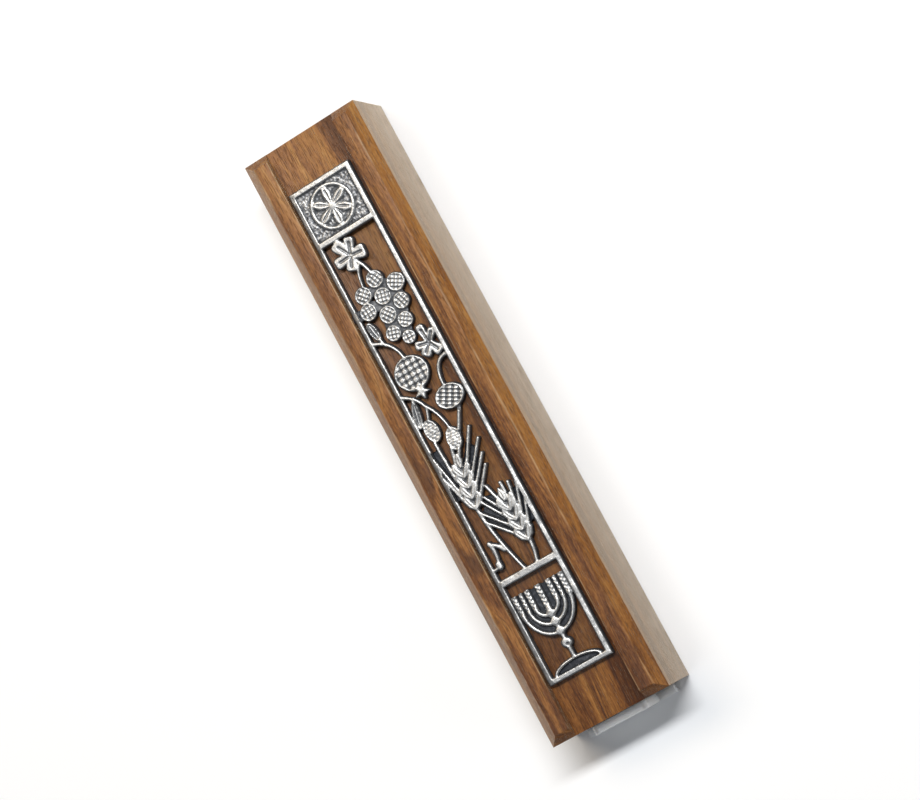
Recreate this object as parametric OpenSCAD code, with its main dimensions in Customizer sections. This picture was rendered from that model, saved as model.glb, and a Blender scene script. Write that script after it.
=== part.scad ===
// Mezuzah case: a solid wooden case with an openwork pewter plaque let into a channel in its
// front, a slide-in plastic back plate with an end flange and a foot lip, and a wrapped parchment scroll.
// The case lies on its back: X across, Y along its length with +Y at the head, +Z out of the
// front. The origin is the middle of the back plate's flat face, where the case meets a doorpost.
// Lengths are in millimetres.

/* [Case] */
// Length of the wooden case
case_l = 140; // [138:1:160]
// Width of the wooden case
case_w = 28.5; // [27:0.5:34]
// Thickness of the wooden case, back to front
case_h = 19.3; // [18.5:0.1:24]
// Chamfer along the long front edges, across the width
chamfer_x = 2.2; // [1:0.1:3]
// Chamfer along the end front edges, along the length
chamfer_y = 2.0; // [1:0.1:3]
// Depth of every front chamfer
chamfer_z = 1.85; // [1:0.05:1.85]

/* [Front channel] */
// Width of the channel that the plaque sits in
channel_w = 17.2; // [16.6:0.1:18]
// Depth of the channel
channel_d = 1.95; // [1.9:0.05:3]

/* [Plaque] */
// Width of the plaque
plaque_w = 15.6; // [15.4:0.1:15.8]
// Length of the plaque
plaque_l = 118; // [118:0.5:120]
// Full thickness of the plaque's frame
plaque_t = 1.85; // [1.5:0.05:2.5]
// Thickness of the sunk grounds behind the relief
ground_t = 0.9; // [0.6:0.1:1.2]
// Thickness of the top panel's ground and of the links between the grapes
link_t = 1.2; // [1:0.05:1.4]
// How far the glued plaque sits off the middle of the channel
plaque_x = -0.35; // [-0.5:0.05:0.5]
// How far the glued plaque sits towards the head
plaque_y = 0.3; // [-1:0.1:1]

/* [Scroll cavity] */
// Width of the cavity
cavity_w = 10.4; // [10:0.2:11]
// Height of the cavity's ceiling above the back face
cavity_top = 12; // [11.9:0.1:12.2]
// Place of the cavity's closed end along Y
cavity_end = 56; // [54:1:58]

/* [Back plate] */
// Width of the plate on its outer face
plate_w = 15; // [14:0.5:16]
// Extra width of the dovetail on each side, at the plate's inner face
dovetail = 1.4; // [1:0.1:1.8]
// Thickness of the plate
plate_t = 2.3; // [2:0.1:2.4]
// Place of the plate's inner end along Y
plate_end = 60; // [59:1:62]
// Sliding clearance between the plate and its groove
slide_gap = 0.15; // [0.1:0.05:0.25]
// Width of the end flange
flange_w = 13.2; // [12:0.2:15]
// Height of the end flange
flange_h = 12.6; // [12.4:0.1:13]
// Thickness of the end flange and its lip
flange_t = 1.9; // [1.2:0.1:2.5]
// Width of the lip along the flange's foot
lip_w = 21.4; // [16:0.2:26]
// Height of the lip
lip_h = 2.6; // [1.5:0.1:4]
// Place of the screw hole near the head
screw_head_y = 49; // [48:1:50]
// Place of the screw hole near the flange
screw_foot_y = -64; // [-65:1:-63]
// Radius of the screw holes
screw_r = 1.7; // [1.5:0.1:2]
// Radius of the countersinks at the plate's inner face
countersink_r = 3.2; // [3:0.1:3.6]

/* [Scroll] */
// Length of the parchment scroll
scroll_l = 100; // [90:1:100]
// Outer radius of the rolled parchment
scroll_r = 4.15; // [3.8:0.05:4.15]
// Radius of the hollow at the middle of the roll
scroll_core_r = 1.2; // [0.8:0.1:1.5]
// Thickness of the wrap
wrap_t = 0.3; // [0.2:0.05:0.3]
// Place of the scroll's middle along Y
scroll_y = -8; // [-8:1:0]

/* [Hidden] */
$fn = 64;
// Overshoot of the cutting shapes
over = 1;
// Depth of overlap between raised and sunk parts of the casting
bite = 0.4;

channel_floor = case_h - channel_d;
foot_y = -case_l / 2;
head_y = case_l / 2;
// Gap between the flange and the wood's end
flange_gap = 0.1;
// Straight land of each screw hole before its countersink
screw_land = 0.8;
// The wrap rests just clear of the plate's inner face
wrap_r = scroll_r + wrap_t + 0.05;
scroll_z = plate_t + wrap_r + 0.15;

// Plaque frame: bar widths and the cross bars, measured from the plaque's middle
side_bar = 1.2;
end_bar = 1.3;
upper_bar_y = [45.3, 46.7];
lower_bar_y = [-36.3, -34.7];
opening_x = plaque_w / 2 - side_bar;
panel_x = plaque_w / 2 - end_bar;
panel_mid_y = (upper_bar_y[1] + plaque_l / 2 - end_bar) / 2;

// Rosette on the top panel
rosette_r = 4.6;
rosette_petals = 6;
petal_w = 1.15;

// Curved stems: start, control point, end, width
stems = [
    [[-1.4, 39.6], [-0.1, 38.2], [0.5, 35.4], 0.95],
    [[-0.9, 38.6], [-2.4, 37.2], [-2.6, 33.6], 0.75],
    [[-7, 22.2], [-2.6, 20.7], [-2, 16.2], 0.9],
    [[-4.8, 22.4], [-4.6, 21.6], [-4.3, 20.4], 0.75],
    [[7, 12.6], [2.9, 12.9], [2.9, 6.7], 0.9],
    [[-7, 9.2], [-3.6, 7.7], [-2.8, 4.5], 0.9],
    [[-4.9, 7.2], [-4.7, 7.6], [-4.4, 7.8], 0.75],
    [[-2.8, 5], [-3.1, 3.6], [-3.9, 1.8], 0.75],
    [[-2.8, 4.9], [-0.7, 2.2], [-0.4, -1.9], 0.8],
    [[-3.6, -18.8], [-3.5, -25], [-0.3, -35.2], 0.95],
    [[3.5, -29.6], [3.5, -32.6], [2.4, -35.3], 0.95]
];

// Folded blade on the first ear's stem
blade = [
    [[-2.4, -29.4], [-3.2, -27.8], [-5, -27], 1.1],
    [[-4.9, -26.8], [-4.2, -29], [-5.1, -32.1], 1.05],
    [[-5, -32.1], [-6, -32.3], [-7, -32.3], 0.85]
];
blade_bud = [-5.1, -31.8];

// Vine leaves: middle, then angle, length and half width of each lobe
vine_leaf_high = [[-1.65, 40.9], [
    [119, 4.7, 1.5], [71, 4.1, 1.2], [-5, 3.5, 1.6], [246, 3.4, 1.3], [183, 4.1, 1.35]
]];
vine_leaf_low = [[4.5, 16.3], [
    [96, 4.5, 0.95], [50, 3.3, 0.9], [168, 3.3, 1], [226, 3.1, 1.2], [-62, 3.3, 1.2]
]];

// Grapes: place and radius
grapes = [
    [0.5, 34, 2], [-3.5, 32.1, 2], [4.3, 31.2, 2.1], [0.3, 29.9, 1.95], [-4.2, 28.5, 1.95],
    [3.5, 27.1, 1.9], [-0.6, 25.9, 2], [2.3, 23.2, 1.8], [-1.5, 21.9, 1.8], [1.2, 19.6, 1.6]
];
// Links that join the grapes behind, from end to end
grape_links = [
    [[-3.5, 31.8], [0.4, 32.2]], [[0.4, 33], [4, 30.8]], [[-3.8, 29.6], [-0.4, 28]],
    [[0.3, 29.8], [3.3, 28.4]], [[3.9, 30.8], [3.4, 27.4]], [[-0.6, 27.5], [2.8, 25.2]],
    [[-1, 26], [-1.5, 22.4]], [[-1.2, 22.2], [2.2, 23.4]], [[2.1, 23], [1.2, 20.2]],
    [[-7.2, 28.8], [-4.2, 28.6]], [[0.3, 30], [1, 24.5]]
];
link_w = 2.3;

// Narrow leaves: middle, half length, half width, angle
narrow_leaves = [[[-5.2, 24.3], 2.4, 1, 100], [[-5.5, 4.2], 3.1, 0.95, 79]];

// Fruits: middle, half width, half height, tilt; a pomegranate's tilt is for its studs, whose spacing is last
pomegranates = [[[-2.1, 12.6], 4.05, 3.95, 0, [1.4, 1.33]], [[2.9, 4.4], 3.45, 2.8, -30, [1.35, 0.85]]];
olives = [[[-4.2, -0.2], 1.75, 2.65, 4], [[-0.7, -3.8], 1.75, 2.65, -8]];
crown = [-2, 8.2];

// Ears of wheat: foot, angle, spacing of the grain pairs
ears = [[[-3.6, -19], 82, 2.35], [[3.3, -29.9], 93, 2.4]];
grain_pairs = 4;
grain_l = 1.45;
grain_w = 0.82;
grain_spread = 33;

// Awns: tip, foot
awns = [
    [[4, 2.2], [-1.9, -8.2]], [[3.4, -3.2], [-1.5, -11]], [[4, -6.3], [-1.4, -13]],
    [[3.2, -9.4], [-1.6, -15.2]], [[2.7, -11.9], [-1.9, -17.6]],
    [[-4.9, -2.2], [-4.6, -12]], [[-7, -5.4], [-5, -15]], [[-7, -10], [-5, -17]],
    [[-2.2, -5.4], [-3.4, -10]],
    [[0.5, -15.9], [2.1, -21.4]], [[-0.9, -17.9], [1.9, -22.6]], [[-2, -18.4], [2, -24.6]],
    [[-3.6, -20], [2.2, -26.6]], [[-3.4, -22.4], [2.3, -28.6]],
    [[3.6, -16.7], [3.6, -21]], [[5.2, -17.3], [4.5, -23]], [[7, -17.6], [4.6, -24.8]],
    [[7, -21.6], [4.8, -27.4]]
];
awn_w = 0.65;

// Thin webs behind the awns
awn_webs = [
    [[-1.6, -9.5], [1.1, -5.6], [2.2, -7.2], [1.9, -9.4], [1.4, -11.6], [-1.6, -16.8]],
    [[-7.2, -4.4], [-4.8, -4], [-4.4, -11], [-5, -16.2], [-7.2, -15.6]],
    [[-2.9, -20.4], [-0.8, -17.6], [0.7, -17.9], [2, -21], [2.2, -28], [-2.6, -23.2]],
    [[3, -19.2], [7.2, -18.8], [7.2, -26.6], [4.6, -27]]
];
web_t = 0.7;

// Lamp in the lower window: reach and drop of each arm, cup widths from the middle out, stem and base
lamp_arms = [[2.6, 2.3], [4.1, 4.2], [5.65, 6.4]];
lamp_cup_y = [-43.5, -39];
cup_w = [1.5, 1.35, 1, 1.3];
arm_w = 0.95;
base_half = 5.4;
base_rise = 1.9;
lamp_foot_y = -plaque_l / 2 + end_bar + base_rise - 0.4;
knops = [[-45.6, 1.1], [-47.5, 1.15], [-49.7, 1.15], [-52.5, 1.25]];

// Points on a curve from a to c, drawn towards b
function curve(a, b, c, steps = 6) = [
    for (i = [0:steps]) let (s = i / steps) (1 - s) * (1 - s) * a + 2 * s * (1 - s) * b + s * s * c
];

// Points on the lower half of an ellipse
function half_ellipse(mid, rx, ry, steps = 14) = [
    for (i = [0:steps]) mid + [-rx * cos(180 * i / steps), -ry * sin(180 * i / steps)]
];

// Sideways direction of a path at point i
function side(path, i) =
    let (d = path[min(i + 1, len(path) - 1)] - path[max(i - 1, 0)]) [-d[1], d[0]] / norm(d);

// Outline of a band of width w along a path
function band(path, w) = concat(
    [for (i = [0:len(path) - 1]) path[i] + side(path, i) * w / 2],
    [for (i = [len(path) - 1:-1:0]) path[i] - side(path, i) * w / 2]
);

// Outline of an ellipse
function oval(mid, rx, ry, tilt = 0, steps = 20) = [
    for (i = [0:steps - 1])
        let (a = 360 * i / steps, x = rx * cos(a), y = ry * sin(a))
            mid + [x * cos(tilt) - y * sin(tilt), x * sin(tilt) + y * cos(tilt)]
];

// One long side of a leaf's lobe of length l and half width w, from its narrow foot to its blunt tip
function lobe_side(foot, angle, l, w, flip) = [
    for (p = [[0, 0.65], [0.4, 0.85], [0.7, 1.05], [0.9, 1], [1, 0.65]])
        let (x = p[0] * l, y = flip * p[1] * w)
            foot + [x * cos(angle) - y * sin(angle), x * sin(angle) + y * cos(angle)]
];

function reversed(list) = [for (i = [len(list) - 1:-1:0]) list[i]];

// Prism of height t over an outline
module slab(outline, t) linear_extrude(t) polygon(outline);

module disc(place, r, t) translate(place) cylinder(r = r, h = t);

// Block from corner a to corner b
module block(a, b) translate(a) cube(b - a);

module stem(s, t) slab(band(curve(s[0], s[1], s[2]), s[3]), t);

module vine_leaf(leaf, t) {
    for (l = leaf[1])
        slab(concat(
            lobe_side(leaf[0], l[0], l[1], l[2], -1), reversed(lobe_side(leaf[0], l[0], l[1], l[2], 1))), t);
    disc(leaf[0], 1, t);
}

// Wheat: pairs of grains up a short axis, and one grain at the tip
module ear(e, t) {
    along = [cos(e[1]), sin(e[1])];
    for (i = [0:grain_pairs - 1], flip = [-1, 1]) {
        lean = e[1] + flip * grain_spread;
        foot = e[0] + along * e[2] * i;
        slab(oval(foot + [cos(lean), sin(lean)] * grain_l * 0.95, grain_l, grain_w, lean, 12), t);
    }
    tip = e[0] + along * (e[2] * grain_pairs + grain_l * 0.6);
    slab(oval(tip, grain_l, grain_w, e[1], 12), t);
    slab(band([e[0] - along * 0.5, tip], 0.6), t);
}

module rosette(t) {
    disc([0, 0], 1, t);
    for (i = [0:rosette_petals - 1]) {
        a = 90 + 360 * i / rosette_petals;
        slab(oval([cos(a), sin(a)] * rosette_r * 0.54, rosette_r * 0.45, petal_w, a, 16), t);
    }
    difference() {
        cylinder(r = rosette_r + 0.6, h = t);
        translate([0, 0, -over]) cylinder(r = rosette_r - 0.3, h = t + 2 * over);
    }
}

// Rim with a sunk face and a grid of studs
module pomegranate(mid, rx, ry, tilt, pitch, t) {
    rim = 0.66;
    stud = 0.3;
    translate(mid) {
        slab(oval([0, 0], rx - rim / 2, ry - rim / 2, 0, 32), ground_t);
        difference() {
            slab(oval([0, 0], rx, ry, 0, 32), t);
            translate([0, 0, -over]) slab(oval([0, 0], rx - rim, ry - rim, 0, 32), t + 2 * over);
        }
        rotate(tilt) for (i = [-3:3], j = [-3:3])
            if (norm([i * pitch[0], j * pitch[1]]) < min(rx, ry) - 1)
                block([i * pitch[0] - stud, j * pitch[1] - stud, ground_t - bite],
                    [i * pitch[0] + stud, j * pitch[1] + stud, t - 0.25]);
    }
}

// Five-pointed crown, point down
module star(mid, r, t) slab([
    for (i = [0:9])
        let (a = -90 + 36 * i, d = i % 2 == 0 ? r : r * 0.5) mid + [d * cos(a), d * sin(a)]
], t);

// Seven-branched lamp with a sunk ground between its arms
module lamp(t) {
    outer = lamp_arms[2];
    top = lamp_cup_y[1];
    bend = lamp_cup_y[0];
    slab(concat([[-outer[0], top - 0.2]], half_ellipse([0, bend], outer[0], outer[1]),
        [[outer[0], top - 0.2]]), ground_t);
    for (a = lamp_arms) {
        slab(band(half_ellipse([0, bend], a[0], a[1]), arm_w), t - 0.15);
    }
    for (i = [0:3], flip = i == 0 ? [1] : [-1, 1]) {
        x = i == 0 ? 0 : flip * lamp_arms[i - 1][0];
        block([x - cup_w[i] / 2, bend - 0.2, 0], [x + cup_w[i] / 2, top, t]);
    }
    block([-0.5, lamp_foot_y, 0], [0.5, bend + bite, t - 0.1]);
    for (k = knops)
        disc([0, k[0]], k[1], t);
    block([-base_half, -plaque_l / 2 + 1, 0], [base_half, -plaque_l / 2 + end_bar + 0.1, ground_t]);
    slab(half_ellipse([0, -plaque_l / 2 + end_bar - 0.1], base_half, -base_rise), ground_t);
    slab(band(half_ellipse([0, -plaque_l / 2 + end_bar - 0.1], base_half, -base_rise), 0.8), t);
}

module plaque_frame() {
    difference() {
        block([-plaque_w / 2, -plaque_l / 2, 0], [plaque_w / 2, plaque_l / 2, plaque_t]);
        // Long open window
        block([-opening_x, lower_bar_y[1], -over], [opening_x, upper_bar_y[0], plaque_t + over]);
        // Lower window
        block([-panel_x, -plaque_l / 2 + end_bar, -over], [panel_x, lower_bar_y[0], plaque_t + over]);
        // Sunk ground of the top panel
        block([-panel_x, upper_bar_y[1], link_t], [panel_x, plaque_l / 2 - end_bar, plaque_t + over]);
    }
}

module plaque() {
    relief = plaque_t - 0.1;
    color("silver") translate([plaque_x, plaque_y, channel_floor]) {
        plaque_frame();
        translate([0, panel_mid_y, link_t - bite]) rosette(relief - link_t + bite);
        for (s = stems)
            stem(s, relief - 0.25);
        for (s = blade)
            stem(s, relief - 0.1);
        disc(blade_bud, 0.8, relief);
        vine_leaf(vine_leaf_high, relief);
        vine_leaf(vine_leaf_low, relief);
        for (l = grape_links)
            slab(band(l, link_w), link_t);
        for (g = grapes)
            disc([g[0], g[1]], g[2], relief);
        for (n = narrow_leaves)
            slab(oval(n[0], n[1], n[2], n[3], 16), relief);
        for (p = pomegranates)
            pomegranate(p[0], p[1], p[2], p[3], p[4], relief);
        star(crown, 1.7, relief);
        for (o = olives)
            slab(oval(o[0], o[1], o[2], o[3]), relief);
        for (e = ears)
            ear(e, relief);
        for (w = awn_webs)
            slab(w, web_t);
        for (a = awns)
            slab(band(a, awn_w), relief - 0.35);
        lamp(relief);
    }
}

// Prism along Y over a profile drawn as [x, z]
module along_y(profile, y_from, y_to)
    translate([0, y_to, 0]) rotate([90, 0, 0]) linear_extrude(y_to - y_from) polygon(profile);

// Dovetail profile, grown by a clearance on its sides and on its inner face
function dovetail_profile(gap, back) = let (x = plate_w / 2 + gap, slope = dovetail / plate_t) [
    [-x + slope * back, -back], [x - slope * back, -back],
    [x + slope * (plate_t + gap), plate_t + gap], [-x - slope * (plate_t + gap), plate_t + gap]
];

module case_blank() {
    x = case_w / 2;
    shoulder = case_h - chamfer_z;
    along_y([
        [-x, 0], [x, 0], [x, shoulder], [x - chamfer_x, case_h], [channel_w / 2, case_h],
        [channel_w / 2, channel_floor], [-channel_w / 2, channel_floor], [-channel_w / 2, case_h],
        [-x + chamfer_x, case_h], [-x, shoulder]
    ], foot_y, head_y);
}

// Wedge that bevels the front edge at one end; flip is 1 at the head and -1 at the foot
module end_bevel(flip) {
    y = case_l / 2;
    mirror([0, flip < 0 ? 1 : 0, 0])
        translate([-case_w / 2 - over, 0, 0]) rotate([90, 0, 90]) linear_extrude(case_w + 2 * over)
            polygon([
                [y - chamfer_y, case_h], [y, case_h - chamfer_z], [y + over, case_h - chamfer_z],
                [y + over, case_h + over], [y - chamfer_y, case_h + over]
            ]);
}

// Round-ended slot for the scroll, open at the foot and into the plate's groove
module scroll_slot() {
    r = cavity_w / 2;
    translate([0, 0, plate_t / 2]) linear_extrude(cavity_top - plate_t / 2) union() {
        translate([-r, foot_y - over]) square([cavity_w, cavity_end - r - foot_y + over]);
        translate([0, cavity_end - r]) circle(r = r);
    }
}

module wood_case() {
    color("sienna") difference() {
        case_blank();
        end_bevel(1);
        end_bevel(-1);
        scroll_slot();
        along_y(dovetail_profile(slide_gap, over), foot_y - over, plate_end + slide_gap);
    }
}

// Flange that closes the cavity's mouth, with rounded corners at its top, and a wider lip along its foot
module end_flange() {
    r = 1.2;
    top = flange_h - r;
    translate([0, foot_y - flange_gap, 0]) rotate([90, 0, 0]) linear_extrude(flange_t) union() {
        translate([-flange_w / 2, 0]) square([flange_w, top]);
        translate([-flange_w / 2 + r, 0]) square([flange_w - 2 * r, flange_h]);
        translate([-lip_w / 2, 0]) square([lip_w, lip_h]);
        for (flip = [-1, 1])
            translate([flip * (flange_w / 2 - r), top]) circle(r = r);
    }
}

module screw_hole(y) {
    translate([0, y, -over]) cylinder(r = screw_r, h = plate_t + 2 * over);
    rise = plate_t - screw_land;
    grow = countersink_r - screw_r;
    translate([0, y, screw_land])
        cylinder(r1 = screw_r, r2 = countersink_r + grow * 0.1, h = rise * 1.1);
}

module back_plate() {
    color("white") difference() {
        union() {
            along_y(dovetail_profile(0, 0), foot_y, plate_end);
            block([-flange_w / 2, foot_y - flange_gap, 0], [flange_w / 2, foot_y + over, plate_t]);
            end_flange();
        }
        screw_hole(screw_head_y);
        screw_hole(screw_foot_y);
    }
}

// Tube along Y, centred on the scroll's middle
module scroll_tube(r_out, r_in)
    translate([0, scroll_y + scroll_l / 2, scroll_z]) rotate([90, 0, 0]) difference() {
        cylinder(r = r_out, h = scroll_l);
        translate([0, 0, -over]) cylinder(r = r_in, h = scroll_l + 2 * over);
    }

module parchment_scroll() color("wheat") scroll_tube(scroll_r, scroll_core_r);

module scroll_wrap() color("lightcyan") scroll_tube(wrap_r, wrap_r - wrap_t);

wood_case();
plaque();
back_plate();
parchment_scroll();
scroll_wrap();
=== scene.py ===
"""Visual model of a wooden mezuzah case with a cast pewter plaque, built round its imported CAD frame."""
import math
from types import SimpleNamespace

import bmesh
import bpy
import numpy as np
from mathutils import Matrix, Vector
from mathutils.geometry import delaunay_2d_cdt


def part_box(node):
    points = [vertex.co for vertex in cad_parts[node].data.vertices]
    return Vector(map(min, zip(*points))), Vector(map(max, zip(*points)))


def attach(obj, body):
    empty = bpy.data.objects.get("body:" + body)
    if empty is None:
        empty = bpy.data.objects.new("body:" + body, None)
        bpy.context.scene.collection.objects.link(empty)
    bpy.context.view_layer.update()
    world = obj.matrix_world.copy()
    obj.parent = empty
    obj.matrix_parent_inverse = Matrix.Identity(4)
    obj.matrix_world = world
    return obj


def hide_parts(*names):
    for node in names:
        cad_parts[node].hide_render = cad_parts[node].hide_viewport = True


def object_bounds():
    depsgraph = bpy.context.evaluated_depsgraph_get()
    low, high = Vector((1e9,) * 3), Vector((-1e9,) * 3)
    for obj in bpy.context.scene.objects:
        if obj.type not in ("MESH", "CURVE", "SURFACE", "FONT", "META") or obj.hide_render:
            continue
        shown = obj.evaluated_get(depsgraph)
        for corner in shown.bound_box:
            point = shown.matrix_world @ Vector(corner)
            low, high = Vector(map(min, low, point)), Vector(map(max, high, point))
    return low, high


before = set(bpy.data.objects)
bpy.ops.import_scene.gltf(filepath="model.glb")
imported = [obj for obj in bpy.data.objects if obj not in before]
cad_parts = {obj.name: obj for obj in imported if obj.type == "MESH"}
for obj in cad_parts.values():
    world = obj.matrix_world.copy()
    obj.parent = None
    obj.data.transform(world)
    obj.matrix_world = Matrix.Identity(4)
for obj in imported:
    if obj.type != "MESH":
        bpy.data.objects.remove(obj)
cad_low, cad_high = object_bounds()
MM = 0.001

# Sizes of the case in millimetres, which the wood's painted shade, highlights and glare follow. It is the
# widest and the highest piece, and the plaque is glued a little off its middle.
CASE_HALF_W = cad_high[0] / MM
CASE_FRONT = cad_high[2] / MM
CHANNEL_HALF_W = 8.6
CHAMFER_W = 2.2
PLAQUE_X, PLAQUE_Y = -0.35, 0.3

# The plaque's own drawing, in millimetres from its middle, with heights above its back
HALF_W, HALF_L = 7.8, 59.0
SIDE_BAR = 1.2
END_BAR = 1.3
UPPER_BAR = (45.3, 46.7)
LOWER_BAR = (-36.3, -34.7)
TOP = 1.85
GROUND = 0.9
PANEL_GROUND = 1.27
# How far the frame's face falls towards its outer edge, and how much more its left bar does
EDGE_FALL = 0.06
LEFT_FALL = 0.26
# Grid step of the relief
STEP = 0.121
# A distance that is outside every shape
FAR = 9.0
# How far past a shape its distance is worked out, and how far its edge height runs on
ROW_MARGIN = 1.5
RUN_ON = 0.5
# Number of hammered stipples on the top panel
STIPPLES = 1100

# ---------------------------------------------------------------- node helper

class Nodes:
    """Builds a material's node tree in short calls, and is called n below.

    A socket or a number goes in, and a socket comes out.
    """

    def __init__(self, material):
        self.tree = material.node_tree
        self.shader = self.tree.nodes["Principled BSDF"]

    def plug(self, value, socket):
        if isinstance(value, bpy.types.NodeSocket):
            self.tree.links.new(value, socket)
        else:
            socket.default_value = value

    def node(self, kind, inputs=None, **settings):
        made = self.tree.nodes.new(kind)
        for name, value in settings.items():
            setattr(made, name, value)
        for name, value in (inputs or {}).items():
            self.plug(value, made.inputs[name])
        return made

    def math(self, operation, a, b=None):
        made = self.node("ShaderNodeMath", operation=operation)
        self.plug(a, made.inputs[0])
        if b is not None:
            self.plug(b, made.inputs[1])
        return made.outputs[0]

    def plus(self, a, b):
        return self.math("ADD", a, b)

    def times(self, a, b):
        return self.math("MULTIPLY", a, b)

    def size(self, value):
        return self.math("ABSOLUTE", value)

    def away(self, value, middle):
        """How far value is from middle, either way."""
        return self.size(self.math("SUBTRACT", value, middle))

    def vector(self, operation, a, b):
        made = self.node("ShaderNodeVectorMath", operation=operation)
        self.plug(a, made.inputs[0])
        self.plug(b, made.inputs[1])
        return made.outputs["Value"] if operation == "LENGTH" else made.outputs[0]

    def millimetres(self):
        """The point in the object's frame, in millimetres."""
        place = self.node("ShaderNodeTexCoord").outputs["Object"]
        return self.vector("MULTIPLY", place, (1 / MM, 1 / MM, 1 / MM))

    def drawn_out(self, place, share):
        """place with its Y scaled by share, so that a texture is drawn out along Y."""
        return self.vector("MULTIPLY", place, (1.0, share, 1.0))

    def split(self, vector):
        return self.node("ShaderNodeSeparateXYZ", {"Vector": vector}).outputs

    def noise(self, place, scale, detail=2.0, rough=0.5, distortion=0.0):
        made = self.node("ShaderNodeTexNoise", {
            "Vector": place, "Scale": scale, "Detail": detail, "Roughness": rough,
            "Distortion": distortion})
        return made.outputs[0]

    def noise_1d(self, value, scale, detail=2.0, rough=0.5):
        made = self.node("ShaderNodeTexNoise", noise_dimensions="1D")
        for name, given in (("W", value), ("Scale", scale), ("Detail", detail), ("Roughness", rough)):
            self.plug(given, made.inputs[name])
        return made.outputs[0]

    def ramp(self, value, stops):
        """Colour that changes with value; stops are (position, colour)."""
        made = self.node("ShaderNodeValToRGB", {"Fac": value})
        bar = made.color_ramp
        while len(bar.elements) < len(stops):
            bar.elements.new(0.5)
        for element, (position, colour) in zip(bar.elements, stops):
            element.position = position
            element.color = (*colour, 1)
        return made.outputs["Color"]

    def spread(self, value, low, high, to_low=0.0, to_high=1.0):
        """value mapped from low..high to to_low..to_high, and held there outside them."""
        made = self.node("ShaderNodeMapRange", {
            "Value": value, "From Min": low, "From Max": high, "To Min": to_low, "To Max": to_high})
        return made.outputs[0]

    def mix(self, share, a, b):
        """Colour a, with colour b over it where share is 1."""
        made = self.node("ShaderNodeMix", data_type="RGBA")
        self.plug(share, made.inputs[0])
        self.plug(a if isinstance(a, bpy.types.NodeSocket) else (*a, 1), made.inputs[6])
        self.plug(b if isinstance(b, bpy.types.NodeSocket) else (*b, 1), made.inputs[7])
        return made.outputs[2]

    def stain(self, colour, over, where, strength):
        """colour, with another laid over it at that strength where the field is 1."""
        return self.mix(self.times(where, strength), colour, over)

    def weigh(self, middle, *parts):
        """middle plus each field's departure from one half, times its weight."""
        total = middle
        for field, weight in parts:
            total = self.plus(total, self.times(self.math("SUBTRACT", field, 0.5), weight))
        return total

    def bump(self, height, depth):
        """Surface relief; depth is in metres for a height of 1."""
        made = self.node("ShaderNodeBump", {"Height": height, "Distance": depth, "Strength": 1.0})
        return made.outputs["Normal"]

    def surface(self, **inputs):
        """Sets the shader's own sockets. Coat_Weight stands for the socket Coat Weight."""
        for name, value in inputs.items():
            self.plug(value, self.shader.inputs[name.replace("_", " ")])


def new_material(name):
    material = bpy.data.materials.new(name)
    material.use_nodes = True
    return material, Nodes(material)


# ---------------------------------------------------------------- camera, floor and light

# The camera's place in metres, its turn in degrees and its lens in millimetres
CAMERA_AT = (0.16437, -0.06760, 0.54206)
CAMERA_TURN = (-1.888, 18.401, -29.675)
LENS = 103.1
# Half the floor's side, and its height just under the case's back so that the two faces don't
# coincide, both in metres
FLOOR_HALF = 3.0
FLOOR_Z = -0.00002


def make_camera():
    data = bpy.data.cameras.new("camera")
    data.lens = LENS
    data.sensor_width = 36
    camera = bpy.data.objects.new("camera", data)
    camera.location = CAMERA_AT
    camera.rotation_euler = [math.radians(a) for a in CAMERA_TURN]
    bpy.context.scene.collection.objects.link(camera)
    bpy.context.scene.camera = camera


def make_soft_light(name, place, width, depth, watts, colour):
    """An oval panel at place that faces the origin, with its width along X."""
    data = bpy.data.lights.new(name, "AREA")
    data.shape = "ELLIPSE"
    data.size = width
    data.size_y = depth
    data.energy = watts
    data.color = colour
    back = Vector(place).normalized()
    side = (Vector((1, 0, 0)) - back * back.x).normalized()
    turn = Matrix((side, back.cross(side), back)).transposed()
    light = bpy.data.objects.new(name, data)
    light.matrix_world = Matrix.Translation(place) @ turn.to_4x4()
    bpy.context.scene.collection.objects.link(light)


def make_lights():
    """A narrow key from the head, a broad warm fill beside it, a weak one above and a bounce at the foot."""
    make_soft_light(
        "key", place=(0.32, 0.44, 1.20), width=0.85, depth=0.17, watts=14.5, colour=(0.98, 1.0, 1.02))
    make_soft_light(
        "top", place=(-0.40, -0.24, 1.28), width=0.45, depth=0.45, watts=1.6, colour=(0.97, 0.99, 1.02))
    make_soft_light(
        "fill", place=(-0.40, 0.80, 1.20), width=1.0, depth=0.5, watts=7.2, colour=(1.0, 0.86, 0.69))
    make_soft_light(
        "bounce", place=(0.90, -0.50, 0.40), width=0.6, depth=0.4, watts=1.1, colour=(1.0, 0.99, 0.97))


def make_floor():
    mesh = bpy.data.meshes.new("floor")
    signs = [(-1, -1), (1, -1), (1, 1), (-1, 1)]
    mesh.from_pydata([(x * FLOOR_HALF, y * FLOOR_HALF, FLOOR_Z) for x, y in signs], [], [(0, 1, 2, 3)])
    floor = bpy.data.objects.new("floor", mesh)
    bpy.context.scene.collection.objects.link(floor)
    material, n = new_material("floor_white")
    n.surface(Base_Color=(0.93, 0.93, 0.93, 1), Roughness=0.6)
    mesh.materials.append(material)


def make_world():
    world = bpy.data.worlds.new("soft_white_room")
    world.use_nodes = True
    background = world.node_tree.nodes["Background"]
    background.inputs["Color"].default_value = (0.86, 0.98, 1.13, 1)
    background.inputs["Strength"].default_value = 0.09
    bpy.context.scene.world = world


# ---------------------------------------------------------------- wood

# The growth rings are cylinders round a pith that runs along Y, outside the block
PITH = (-31.0, 0, -64.0)
# Where the broad band of painted shade along the right side lies, before it sways
SHADED_BAND_X = 10.5
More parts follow.
